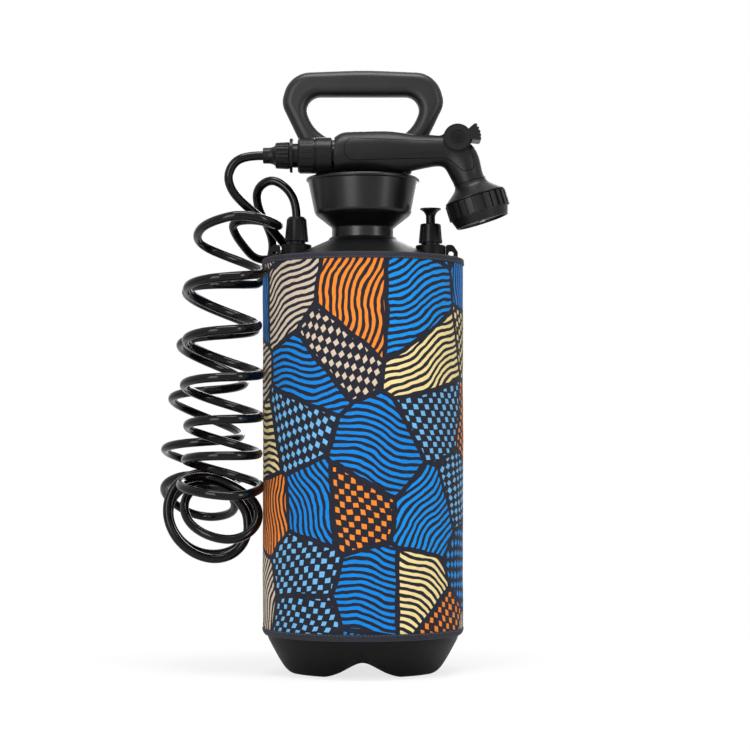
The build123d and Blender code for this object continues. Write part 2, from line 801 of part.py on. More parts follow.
spring_mean_radius = (relief_stem_radius + relief_bore) / 2
spring_low = stem_foot + relief_foot_height + spring_wire
spring_length = relief_plate - spring_low - spring_wire
with BuildPart() as relief_spring:
    with BuildLine() as spring_line:
        Helix(spring_length / spring_turns, spring_length, spring_mean_radius, center=(relief_x, 0, spring_low))
    with BuildSketch(Plane(origin=spring_line.line @ 0, z_dir=spring_line.line % 0)):
        RegularPolygon(spring_wire, 6)
    sweep(is_frenet=True)
relief_spring.part.label = "relief_spring"
export_step(relief_spring.part, "parts/relief_spring.step")

# Form of the hand shower's grip and neck: oval sections (x, z, height, width, lean of the section in degrees)
grip_sections = (
    (grip_start_x, hand_z, 2 * coupling_radius, 2 * coupling_radius, 0),
    (grip_start_x + 8, hand_z + 2.2, 38.4, 34, 0),
    (5, hand_z + 2.9, 39.6, 32.5, 0),
    (40, hand_z + 2.7, 36.4, 29, 0),
    (66, hand_z + 4.2, 29.2, 25, 0),
    (87.2, hand_z + 0.4, 33.0, 25, 36),
    (96.4, hand_z - 14.6, 31.4, 28, 62),
    (neck_end_x, neck_end_z, 2 * neck_end_radius, 2 * neck_end_radius, 90 - head_angle),
)
with BuildPart() as grip_form:
    for x, z, height, width, lean in grip_sections:
        normal = (cos(radians(lean)), 0, -sin(radians(lean)))
        with BuildSketch(Plane(origin=(x, hand_y, z), x_dir=(0, 1, 0), z_dir=normal)):
            Ellipse(width / 2, height / 2)
    loft()

# Outline of the panels let into both sides of the grip
panel_groove = 0.5
panel_depth = 2.0


def panel_outline(inset):
    """Draws the panel's outline, drawn in by a distance along the grip's ends and sides."""
    outline(
        (-17.5 + inset, hand_z + 15.4 - inset, 9 - inset),
        (lever_x - 12, hand_z + 12.6 - inset, 0),
        (lever_x - 6, hand_z + 12.6 - inset, 0),
        (neck_end_x + 1 - inset, hand_z + 6, 0),
        (neck_end_x + 4 - inset, neck_end_z + 10 + inset, 4),
        (neck_end_x - 7 + inset, neck_end_z + 8 + inset, 4),
        (lever_x - 9, hand_z - 3.4 + inset, 14),
        (-17.5 + inset, hand_z - 6.4 + inset, 9 - inset),
    )


# Space that the flow lever sweeps, cut out of the grip and its panels
lever_sweep = 60.0
tab_start = -7.0
tab_stop = 40.0
tab_radius = 21.8
lever_gap = 0.5


def sector(inner, outer, start, stop):
    """Closed outline of a slice of a ring, between two angles."""
    CenterArc((0, 0), inner, start, stop - start)
    CenterArc((0, 0), outer, start, stop - start)
    for angle in (start, stop):
        across = Vector(1, 0).rotate(Axis.Z, angle)
        Line(across * inner, across * outer)


with BuildPart() as lever_space:
    with BuildSketch(lever_plane):
        with BuildLine():
            sector(
                lever_hub_radius + lever_gap / 2,
                tab_radius + lever_gap,
                tab_start - 2,
                tab_stop + lever_sweep + 2,
            )
        make_face()
    extrude(amount=3 * lever_hub_half_depth, both=True)
    for side in (-1, 1):
        with BuildSketch(lever_plane.offset(side * lever_hub_half_depth)):
            Circle(lever_disc_radius + lever_gap)
            with BuildLine():
                sector(1, tab_radius + lever_gap, tab_start - 2, tab_stop + lever_sweep + 2)
            make_face()
        extrude(amount=side * 3 * lever_disc_thickness)

# Grip and neck in one moulding, with the lever's hub, the spool bore and the waterway
with BuildPart() as grip_body:
    add(grip_form.part)
    with BuildSketch(Plane.XZ.offset(-hand_y)):
        with BuildLine():
            outline(
                (58, hand_z + 8, 0),
                (58, hand_z + 18.8, 0),
                (lever_x - 14, hand_z + 17.6, 7),
                (lever_x - 8, lever_z + 11.2, 0),
                (lever_x + 6, lever_z, 0),
                (lever_x, hand_z + 4, 0),
            )
        make_face()
    extrude(amount=lever_hub_half_depth - 4, both=True)
    with BuildSketch(lever_plane):
        Circle(lever_hub_radius)
    extrude(amount=lever_hub_half_depth, both=True)
    for side in (-1, 1):
        with BuildSketch(Plane.XZ.offset(-hand_y + side * grip_side_plane)):
            with BuildLine():
                panel_outline(0)
            make_face()
        extrude(amount=-side * (grip_side_plane - lever_hub_half_depth + panel_depth), mode=Mode.SUBTRACT)
    with BuildSketch(lever_plane):
        Circle(lever_hub_radius)
    extrude(amount=lever_hub_half_depth, both=True)
    add(lever_space.part, mode=Mode.SUBTRACT)
    with BuildSketch(lever_plane):
        Circle(spool_radius + running_gap)
    extrude(amount=40, both=True, mode=Mode.SUBTRACT)
    with BuildSketch(hand_ring_plane.offset(grip_start_x)):
        Circle(adapter_radius)
    extrude(amount=adapter_plug_length, mode=Mode.SUBTRACT)
    inlet_run = Vector(grip_start_x, hand_y, hand_z) - Vector(lever_x, hand_y, lever_z)
    outlet_run = Vector(neck_end_x, hand_y, neck_end_z) - Vector(lever_x, hand_y, lever_z)
    for run in (inlet_run, outlet_run):
        with BuildSketch(Plane(origin=(lever_x, hand_y, lever_z), x_dir=(0, 1, 0), z_dir=run.normalized())):
            Circle(waterway_radius)
        extrude(amount=run.length + 2, mode=Mode.SUBTRACT)
grip_body.part.label = "grip_body"
export_step(grip_body.part, "parts/grip_body.step")

# The two side panels, flush with the grip, each within a fine groove
with BuildPart() as panel_space:
    for side in (-1, 1):
        with BuildSketch(Plane.XZ.offset(-hand_y + side * grip_side_plane)):
            with BuildLine():
                panel_outline(panel_groove)
            make_face()
        extrude(amount=-side * (grip_side_plane - lever_hub_half_depth + panel_depth))
    with BuildSketch(lever_plane):
        Circle(lever_hub_radius + panel_groove)
    extrude(amount=40, both=True, mode=Mode.SUBTRACT)
    add(lever_space.part, mode=Mode.SUBTRACT)
with BuildPart() as grip_panels:
    add(grip_form.part)
    add(panel_space.part, mode=Mode.INTERSECT)
grip_panels.part.label = "grip_panels"
export_step(grip_panels.part, "parts/grip_panels.step")

# Flow lever: a disc on each side of the hub, joined by a ridged thumb tab
with BuildPart() as flow_lever:
    lever_half_width = lever_hub_half_depth + fit_gap + lever_disc_thickness
    for side in (-1, 1):
        with BuildSketch(lever_plane.offset(side * (lever_half_width - lever_disc_thickness))):
            Circle(lever_disc_radius)
            with BuildLine():
                sector(2, lever_hub_radius + 2.5, tab_start, tab_stop)
            make_face()
            Circle(lever_socket_radius, mode=Mode.SUBTRACT)
        extrude(amount=side * lever_disc_thickness)
        with BuildSketch(lever_plane.offset(side * lever_half_width)):
            Circle(lever_recess_radius)
        extrude(amount=-side * lever_disc_thickness * 0.6, mode=Mode.SUBTRACT)
    with BuildSketch(lever_plane):
        with BuildLine():
            sector(lever_hub_radius + lever_gap, tab_radius - 1.2, tab_start, tab_stop)
        make_face()
    extrude(amount=lever_half_width, both=True)
    ridge_pitch = (tab_stop - tab_start) / 5
    for i in range(5):
        with BuildSketch(lever_plane):
            with BuildLine():
                sector(
                    tab_radius - 2,
                    tab_radius,
                    tab_start + (i + 0.2) * ridge_pitch,
                    tab_start + (i + 0.8) * ridge_pitch,
                )
            make_face()
        extrude(amount=lever_half_width, both=True)
flow_lever.part.label = "flow_lever"
export_step(flow_lever.part, "parts/flow_lever.step")

# Valve spool across the hub, turned by the lever, with a cross bore, two seals and its end screw
seal_section = 0.8
seal_half_spacing = 7.5
with BuildPart() as valve_spool:
    with BuildSketch(lever_plane):
        Circle(spool_radius)
    extrude(amount=lever_hub_half_depth + fit_gap, both=True)
    with BuildSketch(Plane(origin=(lever_x, hand_y, lever_z), x_dir=(0, 1, 0), z_dir=head_axis_direction)):
        Circle(spool_radius - 2)
    extrude(amount=2 * spool_radius, both=True, mode=Mode.SUBTRACT)
    for side in (-1, 1):
        with BuildSketch(lever_plane.offset(side * seal_half_spacing - seal_section)):
            Circle(spool_radius + 1)
            Circle(spool_radius - 2 * seal_section, mode=Mode.SUBTRACT)
        extrude(amount=2 * seal_section, mode=Mode.SUBTRACT)
valve_spool.part.label = "valve_spool"
export_step(valve_spool.part, "parts/valve_spool.step")

with BuildPart() as spool_seals:
    for side in (-1, 1):
        with BuildSketch(Plane.XY.offset(lever_z)):
            with Locations((lever_x + spool_radius - seal_section, hand_y + side * seal_half_spacing)):
                Circle(seal_section - 0.02)
        revolve(axis=Axis((lever_x, hand_y, lever_z), (0, 1, 0)))
spool_seals.part.label = "spool_seals"
export_step(spool_seals.part, "parts/spool_seals.step")

lever_floor_thickness = 0.4 * lever_disc_thickness
screw_head_height = 1.0
screw_slot_length = 5.0
screw_slot_depth = 0.7
screw_face = lever_hub_half_depth + fit_gap + lever_floor_thickness + screw_head_height
with BuildPart() as spool_screws:
    for side in (-1, 1):
        with BuildSketch(lever_plane.offset(side * (lever_hub_half_depth + fit_gap))):
            Circle(lever_socket_radius)
        extrude(amount=side * lever_floor_thickness)
        with BuildSketch(lever_plane.offset(side * (lever_hub_half_depth + fit_gap + lever_floor_thickness))):
            Circle(spool_radius - 0.4)
        extrude(amount=side * screw_head_height)
        with BuildSketch(lever_plane.offset(side * screw_face)):
            Rectangle(1, screw_slot_length)
            Rectangle(screw_slot_length, 1)
        extrude(amount=-side * screw_slot_depth, mode=Mode.SUBTRACT)
spool_screws.part.label = "spool_screws"
export_step(spool_screws.part, "parts/spool_screws.step")

# Spray head: a fixed cone with a ported plate and a spindle, and the dial that turns round it
plate_start = head_cone_length - 2.4
spindle_radius = 3.5
head_cone_wall = 2.4
face_top = head_cone_length + fit_gap + dial_length + dial_face_length
plate_top = face_top - face_recess
face_plate_thickness = 2.4
with BuildPart() as head_cone:
    with BuildSketch(head_plane):
        with BuildLine():
            Polyline(
                (0, waterway_radius),
                (0, neck_end_radius - 0.6),
                (1.5, neck_end_radius - 0.1),
            )
            Spline(
                (1.5, neck_end_radius - 0.1),
                (head_cone_length * 0.5, neck_end_radius + cone_middle_bulge),
                (head_cone_length - 1, head_cone_radius),
                tangents=[(1, 0.25), (1, 1.3)],
            )
            Polyline(
                (head_cone_length - 1, head_cone_radius),
                (head_cone_length, head_cone_radius),
                (head_cone_length, spindle_radius),
                (plate_top - face_plate_thickness - fit_gap, spindle_radius),
                (plate_top - face_plate_thickness - fit_gap, face_screw_radius),
                (plate_start, face_screw_radius),
                (plate_start, head_cone_radius - 5),
                (head_cone_length * 0.5, neck_end_radius + cone_middle_bulge - head_cone_wall - 1),
                (3, waterway_radius),
                (0, waterway_radius),
            )
        make_face()
    revolve(axis=head_axis)
    with BuildSketch(head_ring_plane.offset(plate_start)):
        with PolarLocations(12, 4):
            Circle(2.5)
    extrude(amount=2 * head_cone_wall, mode=Mode.SUBTRACT)
    with BuildSketch(head_plane):
        with Locations((head_cone_length, head_cone_radius - 3)):
            Rectangle(3.2, 2)
    revolve(axis=head_axis, mode=Mode.SUBTRACT)
head_cone.part.label = "head_cone"
export_step(head_cone.part, "parts/head_cone.step")

with BuildPart() as dial_seal:
    with BuildSketch(head_plane):
        with Locations((head_cone_length - 0.7, head_cone_radius - 3)):
            Circle(0.9)
    revolve(axis=head_axis)
dial_seal.part.label = "dial_seal"
export_step(dial_seal.part, "parts/dial_seal.step")

dial_start = head_cone_length + fit_gap
with BuildPart() as pattern_dial:
    with BuildSketch(head_plane):
        with BuildLine():
            outline(
                (dial_start, dial_face_radius - dial_face_lip, 0),
                (dial_start, dial_radius - dial_rib_depth, 1),
                (dial_start + dial_length, dial_radius - dial_rib_depth, 1),
                (face_top, dial_face_radius, 1),
                (face_top, dial_face_radius - 2, 0.6),
                (plate_top - face_plate_thickness, dial_face_radius - dial_face_lip, 0),
            )
        make_face()
    revolve(axis=head_axis)
    with BuildSketch(head_ring_plane.offset(dial_start + 0.6)):
        with PolarLocations(dial_radius - dial_rib_depth, dial_rib_count):
            Rectangle(2 * dial_rib_depth, dial_rib_width)
        Circle(dial_radius, mode=Mode.INTERSECT)
    extrude(amount=dial_length - 1.2)
pattern_dial.part.label = "pattern_dial"
export_step(pattern_dial.part, "parts/pattern_dial.step")

with BuildPart() as face_plate:
    with BuildSketch(head_ring_plane.offset(plate_top - face_plate_thickness)):
        Circle(dial_face_radius - dial_face_lip)
        Circle(face_screw_radius + running_gap, mode=Mode.SUBTRACT)
        with PolarLocations(9, 8):
            Circle(jet_radius, mode=Mode.SUBTRACT)
        with PolarLocations(15.5, 16, start_angle=11):
            Circle(jet_radius, mode=Mode.SUBTRACT)
    extrude(amount=face_plate_thickness)
face_plate.part.label = "face_plate"
export_step(face_plate.part, "parts/face_plate.step")

with BuildPart() as face_screw:
    with BuildSketch(head_ring_plane.offset(plate_start)):
        Circle(face_screw_radius)
    extrude(amount=plate_top + fit_gap - plate_start)
    with BuildSketch(head_ring_plane.offset(plate_top + fit_gap)):
        Circle(3)
        Rectangle(0.8, 4, mode=Mode.SUBTRACT)
    extrude(amount=1.2)
face_screw.part.label = "face_screw"
export_step(face_screw.part, "parts/face_screw.step")

# Inlet adapter: plugs into the grip and into the quick coupling
adapter_start = collar_end_x - 21
with BuildPart() as inlet_adapter:
    with BuildSketch(hand_plane):
        with BuildLine():
            Polyline(
                (adapter_start, waterway_radius),
                (adapter_start, adapter_radius - 1.5),
                (adapter_start + 4, adapter_radius - 1.5),
                (adapter_start + 4, adapter_radius),
                (adapter_start + adapter_groove_start, adapter_radius),
                (adapter_start + adapter_groove_start, adapter_radius - adapter_groove_depth),
                (adapter_start + adapter_groove_end, adapter_radius - adapter_groove_depth),
                (adapter_start + adapter_groove_end, adapter_radius),
                (collar_end_x + 0.6, adapter_radius),
                (collar_end_x + 0.6, adapter_radius + adapter_flange),
                (grip_start_x, adapter_radius + adapter_flange),
                (grip_start_x, adapter_radius),
                (grip_start_x + adapter_plug_length, adapter_radius),
                (grip_start_x + adapter_plug_length, waterway_radius + 1.5),
                (collar_end_x, waterway_radius),
                close=True,
            )
        make_face()
    revolve(axis=hand_axis)
inlet_adapter.part.label = "inlet_adapter"
export_step(inlet_adapter.part, "parts/inlet_adapter.step")

with BuildPart() as adapter_seal:
    with BuildSketch(hand_plane):
        with Locations((adapter_start + 2.2, adapter_radius - adapter_seal_section)):
            Circle(adapter_seal_section)
    revolve(axis=hand_axis)
adapter_seal.part.label = "adapter_seal"
export_step(adapter_seal.part, "parts/adapter_seal.step")

# Quick coupling: core with a flange, four locking claws, a sprung release collar and the hose nut
core_end = collar_end_x - 1
claw_start = adapter_start + adapter_groove_start + 0.5
claw_length = 3.0
claw_width = 4.4
claw_inner = adapter_radius - adapter_groove_depth + fit_gap
claw_outer = coupling_core_radius - fit_gap
with BuildPart() as coupling_core:
    with BuildSketch(hand_plane):
        with BuildLine():
            Polyline(
                (nut_end_x - thread_length, water_bore),
                (nut_end_x - thread_length, core_sleeve_radius),
                (flange_x - flange_thickness, core_sleeve_radius),
                (flange_x - flange_thickness, flange_radius),
                (flange_x, flange_radius),
                (flange_x, coupling_core_radius),
                (core_end, coupling_core_radius),
                (core_end, adapter_radius + running_gap),
                (adapter_start - 1, adapter_radius + running_gap),
                (adapter_start - 1, water_bore),
                close=True,
            )
        make_face()
    revolve(axis=hand_axis)
    with Locations(hand_ring_plane.offset(claw_start + claw_length / 2)):
        with PolarLocations(adapter_radius + 2, 4, start_angle=45):
            Box(6, claw_width, claw_length, mode=Mode.SUBTRACT)
coupling_core.part.label = "coupling_core"
export_step(coupling_core.part, "parts/coupling_core.step")

with BuildPart() as locking_claws:
    with BuildSketch(hand_ring_plane.offset(claw_start)):
        with PolarLocations((claw_inner + claw_outer) / 2, 4, start_angle=45):
            Rectangle(claw_outer - claw_inner, claw_width)
    extrude(amount=claw_length)
locking_claws.part.label = "locking_claws"
export_step(locking_claws.part, "parts/locking_claws.step")

with BuildPart() as release_collar:
    with BuildSketch(hand_plane):
        with BuildLine():
            outline(
                (collar_start_x, coupling_core_radius + running_gap, 0),
                (collar_start_x, coupling_radius - 2, 0),
                (collar_start_x + 2, coupling_radius - 0.3, 0.8),
                (collar_start_x + 15.5, coupling_radius - 0.3, 0),
                (collar_start_x + 16, coupling_radius - 0.8, 0),
                (collar_start_x + 17, coupling_radius - 0.8, 0),
                (collar_start_x + 17.5, coupling_radius, 0),
                (collar_end_x, coupling_radius, 1),
                (collar_end_x, collar_lip_radius, 0),
                (collar_end_x - collar_travel - 0.2, collar_lip_radius, 0),
                (collar_end_x - collar_travel - 0.2, coupling_core_radius + running_gap, 0),
            )
        make_face()
    revolve(axis=hand_axis)
    flutes(
        hand_ring_plane,
        collar_start_x - 1,
        collar_start_x + 14,
        coupling_radius,
        coupling_radius,
        0.7,
        20,
    )
release_collar.part.label = "release_collar"
export_step(release_collar.part, "parts/release_collar.step")

with BuildPart() as hose_nut:
    with BuildSketch(hand_plane):
        with BuildLine():
            outline(
                (nut_end_x, core_sleeve_radius, 0),
                (nut_end_x, hose_nut_radius, 0.8),
                (ferrule_end_x, hose_nut_radius - 0.6, 1.5),
                (ferrule_end_x, hose_radius, 0),
                (nut_end_x - thread_length, hose_radius, 0),
                (nut_end_x - thread_length, core_sleeve_radius, 0),
            )
        make_face()
    revolve(axis=hand_axis)
    flutes(
        hand_ring_plane,
        ferrule_end_x + 1.5,
        nut_end_x + 1,
        hose_nut_radius - 0.5,
        hose_nut_radius,
        nut_groove_radius,
        nut_groove_count + 4,
    )
hose_nut.part.label = "hose_nut"
export_step(hose_nut.part, "parts/hose_nut.step")

with BuildPart() as hose_ferrule:
    with BuildSketch(hand_plane):
        with BuildLine():
            Polyline(
                (ferrule_end_x, hose_radius),
                (hose_start_x + 3, hose_radius),
                (hose_start_x + 3, 0),
                (hose_start_x, 0),
                (hose_start_x, ferrule_radius - 0.5),
                (hose_start_x + 0.5, ferrule_radius),
                (hose_start_x + 4, ferrule_radius),
            )
            Spline(
                (hose_start_x + 4, ferrule_radius),
                (ferrule_end_x, ferrule_flare),
                tangents=[(1, 0), (0.5, 1)],
            )
            Line((ferrule_end_x, ferrule_flare), (ferrule_end_x, hose_radius))
        make_face()
    revolve(axis=hand_axis)
hose_ferrule.part.label = "hose_ferrule"
export_step(hose_ferrule.part, "parts/hose_ferrule.step")

# Hose: a lead from the outlet, the hanging coil as one fat tube, and a lead to the hand shower
coil_route = [
    (-127, -44, 425),
    (-131, -43, 335),
    (-130, -43, 240),
    (-131, -43, 143),
    (-159, 45, 143),
    (-157, 46, 235),
    (-151, 45, 308),
    (-148, 46, 378),
]
front_top = Plane(origin=coil_route[0], x_dir=(1, 0, 0), z_dir=Vector(*coil_route[0]) - Vector(*coil_route[1]))
rear_top = Plane(origin=coil_route[-1], x_dir=(1, 0, 0), z_dir=Vector(*coil_route[-1]) - Vector(*coil_route[-2]))
coil_entry = coil_radius - coil_wall / 2
front_entry = (coil_entry * 0.6, coil_entry * 0.8)
outlet_lead_route = [
    (outlet_x, 0, outlet_nut_top - 3),
    (outlet_x, 0, 442),
    (-71, 2, 458),
    (-87, 5, 468),
    (-101, 11, 458),
    (-101, 20, 439),
    (-93, 29, 419),
    (-93, 41, 402),
    rear_top.from_local_coords((coil_entry, 0, 15)),
    rear_top.from_local_coords((coil_entry, 0, 0)),
]
hand_lead_route = [
    (hose_start_x, hand_y, hand_z),
    (-107, hand_y, hand_z),
    (-121, hand_y - 1, hand_z - 7),
    (-128, hand_y - 1, hand_z - 22),
    (-120, hand_y + 5, hand_z - 38),
    front_top.from_local_coords((*front_entry, 12)),
    front_top.from_local_coords((*front_entry, 0)),
]


def bend_radii(route):
    """Radius for each corner of a route: 0.45 of its shorter run over the tangent of half its turn."""
    points = [Vector(*point) for point in route]
    radii = []
    for before, at, after in zip(points, points[1:], points[2:]):
        half_turn = radians((at - before).get_angle(after - at)) / 2
        radii.append(0.45 * min((at - before).length, (after - at).length) / tan(half_turn))
    return radii


def report_tube(node, tube, line, section, route):
    """Prints a tube's bend radii and its length, and how its volume compares with its section."""
    length = sum(edge.length for edge in line.edges())
    print(node, "radii", [round(radius, 1) for radius in bend_radii(route)])
    print(node, "length", round(length, 1), "volume over section x length", round(tube.volume / section / length, 4))


with BuildPart() as hose_outlet_lead:
    with BuildLine() as outlet_lead_line:
        FilletPolyline(*outlet_lead_route, radius=bend_radii(outlet_lead_route))
    with BuildSketch(Plane(origin=outlet_lead_route[0], z_dir=outlet_lead_line.line % 0)):
        Circle(hose_radius)
    sweep()
report_tube(
    "hose_outlet_lead", hose_outlet_lead.part, outlet_lead_line, pi * hose_radius**2, outlet_lead_route
)
hose_outlet_lead.part.label = "hose_outlet_lead"
export_step(hose_outlet_lead.part, "parts/hose_outlet_lead.step")

with BuildPart() as hose_coil:
    with BuildLine() as coil_line:
        FilletPolyline(*coil_route, radius=bend_radii(coil_route))
    with BuildSketch(Plane(origin=coil_route[0], z_dir=coil_line.line % 0)):
        Circle(coil_radius)
        Circle(coil_radius - coil_wall, mode=Mode.SUBTRACT)
    sweep()
report_tube(
    "hose_coil", hose_coil.part, coil_line, pi * (coil_radius**2 - (coil_radius - coil_wall) ** 2), coil_route
)
hose_coil.part.label = "hose_coil"
export_step(hose_coil.part, "parts/hose_coil.step")

with BuildPart() as hose_hand_lead:
    with BuildLine() as hand_lead_line:
        FilletPolyline(*hand_lead_route, radius=bend_radii(hand_lead_route))
    with BuildSketch(Plane(origin=hand_lead_route[0], z_dir=hand_lead_line.line % 0)):
        Circle(hose_radius)
    sweep()
report_tube("hose_hand_lead", hose_hand_lead.part, hand_lead_line, pi * hose_radius**2, hand_lead_route)
hose_hand_lead.part.label = "hose_hand_lead"
export_step(hose_hand_lead.part, "parts/hose_hand_lead.step")
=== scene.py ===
import json
import math

import bpy
import numpy as np
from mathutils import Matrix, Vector


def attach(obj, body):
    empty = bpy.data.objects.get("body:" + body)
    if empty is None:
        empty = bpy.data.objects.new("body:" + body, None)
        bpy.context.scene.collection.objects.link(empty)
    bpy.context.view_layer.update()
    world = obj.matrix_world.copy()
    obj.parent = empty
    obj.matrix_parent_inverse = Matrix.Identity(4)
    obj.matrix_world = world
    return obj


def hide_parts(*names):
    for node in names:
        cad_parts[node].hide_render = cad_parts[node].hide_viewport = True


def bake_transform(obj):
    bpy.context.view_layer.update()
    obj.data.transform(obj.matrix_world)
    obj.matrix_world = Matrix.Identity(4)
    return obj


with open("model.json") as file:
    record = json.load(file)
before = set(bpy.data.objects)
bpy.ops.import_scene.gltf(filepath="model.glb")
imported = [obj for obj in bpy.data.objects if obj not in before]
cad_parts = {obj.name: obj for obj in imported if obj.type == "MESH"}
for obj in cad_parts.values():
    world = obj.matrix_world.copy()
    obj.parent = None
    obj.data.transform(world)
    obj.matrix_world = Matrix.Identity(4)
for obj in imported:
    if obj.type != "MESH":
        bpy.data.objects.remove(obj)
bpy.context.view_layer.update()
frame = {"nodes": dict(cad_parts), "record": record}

MM = 0.001
TURN = 2 * math.pi
nodes = frame["nodes"]

# Sizes that the pieces below share with the solids, in millimetres
sleeve_inner = 91.9
sleeve_outer = 95.0
sleeve_low = 41.0
sleeve_high = 388.6
hose_diameter = 8.5
coil_radius = 34.2

# Camera: level, a little over the tank's middle, with the picture's horizon below its centre
camera_data = bpy.data.cameras.new("front_camera")
camera_data.sensor_width = 36
camera_data.lens = 106.1
camera_data.shift_y = 0.0933
camera = bpy.data.objects.new("front_camera", camera_data)
camera.location = (0.0114, -2.1, 0.214)
camera.rotation_euler = (math.pi / 2, 0, 0)
bpy.context.scene.collection.objects.link(camera)
bpy.context.scene.camera = camera


def add_object(name, data):
    """Puts data into the scene as an object at the origin."""
    piece = bpy.data.objects.new(name, data)
    bpy.context.scene.collection.objects.link(piece)
    return piece


def surface(name, points, closed_u=True, closed_v=False, uv=None):
    """Mesh piece from a grid of points in metres, rows along v and columns along u; uv has four places a face."""
    rows, columns = points.shape[:2]
    index = np.arange(rows * columns).reshape(rows, columns)
    if closed_u:
        index = np.concatenate([index, index[:, :1]], axis=1)
    if closed_v:
        index = np.concatenate([index, index[:1]], axis=0)
    faces = np.stack([index[:-1, :-1], index[:-1, 1:], index[1:, 1:], index[1:, :-1]], axis=-1).reshape(-1, 4)
    mesh = bpy.data.meshes.new(name)
    mesh.from_pydata(points.reshape(-1, 3).tolist(), [], faces.tolist())
    mesh.polygons.foreach_set("use_smooth", np.ones(len(faces), bool))
    if uv is not None:
        layer = mesh.uv_layers.new(name="UVMap")
        layer.data.foreach_set("uv", uv.reshape(-1, 2).astype(np.float32).ravel())
    mesh.update()
    return add_object(name, mesh)


def ring(name, profile, count=240, sway=0.0):
    """A closed profile of (radius, height) in millimetres turned round the tank's axis; sway is a slow ripple."""
    profile = np.array(profile, float)
    angle = np.linspace(0, TURN, count, endpoint=False)
    ripple = sway * (np.sin(5 * angle + 1) + 0.6 * np.sin(11 * angle + 2))
    radius = profile[:, None, 0] + 0 * angle
    height = profile[:, None, 1] + ripple
    points = np.stack([radius * np.cos(angle), radius * np.sin(angle), height], axis=-1) * MM
    return surface(name, points, closed_v=True)


def rounded(corners, steps=5, share=0.35):
    """A closed outline through corners, each of them rounded by a parabola that starts a share of the way along."""
    corners = np.array(corners, float)
    before, after = np.roll(corners, 1, axis=0), np.roll(corners, -1, axis=0)
    start = corners + (before - corners) * share
    stop = corners + (after - corners) * share
    t = np.linspace(0, 1, steps)[None, :, None]
    arcs = (1 - t) ** 2 * start[:, None] + 2 * t * (1 - t) * corners[:, None] + t**2 * stop[:, None]
    return arcs.reshape(-1, 2)


# Hose
def spline(name, points, bevel=0.0):
    """A curve of one smooth open spline with the points, in metres, as its control points."""
    data = bpy.data.curves.new(name, "CURVE")
    data.dimensions = "3D"
    line = data.splines.new("NURBS")
    line.points.add(len(points) - 1)
    line.points.foreach_set("co", np.column_stack([points, np.ones(len(points))]).ravel())
    line.order_u = 3
    line.use_endpoint_u = True
    data.resolution_u = 5
    data.bevel_depth = bevel
    data.bevel_resolution = 5
    data.use_fill_caps = bevel > 0
    return add_object(name, data)


def as_mesh(curve):
    """The curve's mesh as the scene shows it; the curve itself is then removed."""
    bpy.context.view_layer.update()
    mesh = bpy.data.meshes.new_from_object(curve.evaluated_get(bpy.context.evaluated_depsgraph_get()))
    bpy.data.objects.remove(curve)
    return mesh


def line_points(points):
    """Points along the smooth spline of these control points."""
    mesh = as_mesh(spline("line", points))
    co = np.zeros(len(mesh.vertices) * 3)
    mesh.vertices.foreach_get("co", co)
    bpy.data.meshes.remove(mesh)
    return co.reshape(-1, 3)


# Route of the coil's middle, from the top of its rear leg round the bottom to the top of its front leg
coil_route = [
    (-133, 46, 378),
    (-143, 45, 308),
    (-155, 46, 235),
    (-159, 45, 143),
    (-131, -43, 143),
    (-130, -43, 240),
    (-131, -43, 335),
    (-127, -44, 425),
]
# How far along that route the hose is at each turn: few and wide at the ends, and close together at the bottom
turn_numbers = (0, 0.5, 1.5, 2.5, 3.5, 4.5, 8.5, 9.5, 10.5, 11.5, 12.5, 13.5, 14.5)
turn_places = (0, 19, 71, 123.4, 173.5, 210.3, 318.8, 345.8, 377.9, 415.2, 457.7, 505.3, 558.3)
coil_side = np.array([0.953, 0.303, 0.0])  # across the plane that both legs lie in
coil_lean = np.array([0.0, 0.0, -0.15])  # the turns hang lower at their right
points_per_turn = 14
measured_length = 574.3  # of the route, for which turn_places holds
look_ahead = 0.004  # how far to each side the route's direction is taken from, in metres
# Shares of the radius by which the turns differ: wider at the bottom, and uneven all along
bottom_growth, bottom_turn, bottom_spread = 0.10, 6.2, 1.6
uneven_growth, uneven_pace = 0.05, 2.3
# In the bottom bend every other turn is smaller on its inner side, so that neighbours lie beside each other there
bend_step, bend_turn, bend_spread = 0.13, 6.5, 2.4
inner_side = 0.25  # the part of a turn at which it is on the bend's inner side


def coil_points(first, last):
    """Control points of the helix about the route: the middle, plus the radius times the cosine of the turn sideways
    and its sine across, where across is the route's direction times sideways."""
    middle = line_points(np.array(coil_route) * MM)
    along = np.concatenate([[0], np.cumsum(np.linalg.norm(np.diff(middle, axis=0), axis=1))])
    turns = np.arange(first * points_per_turn, last * points_per_turn + 1) / points_per_turn
    place = np.interp(turns, turn_numbers, turn_places) * along[-1] / measured_length
    centre = np.stack([np.interp(place, along, middle[:, k]) for k in range(3)], axis=1)
    ahead = np.stack([np.interp(place + look_ahead, along, middle[:, k]) for k in range(3)], axis=1)
    behind = np.stack([np.interp(place - look_ahead, along, middle[:, k]) for k in range(3)], axis=1)
    direction = (ahead - behind) / np.linalg.norm(ahead - behind, axis=1)[:, None]
    across = np.cross(direction, coil_side)
    swell = 1 + bottom_growth * np.exp(-(((turns - bottom_turn) / bottom_spread) ** 2))
    swell = swell + uneven_growth * np.sin(uneven_pace * turns)
    in_bend = np.exp(-(((turns - bend_turn) / bend_spread) ** 4))
    swell = swell + bend_step * np.cos(math.pi * (turns - inner_side)) * in_bend
    radius = (coil_radius * MM * swell / math.cos(math.pi / points_per_turn))[:, None]
    angle = (TURN * turns)[:, None]
    return centre + radius * (np.cos(angle) * (coil_side + coil_lean) + np.sin(angle) * across)


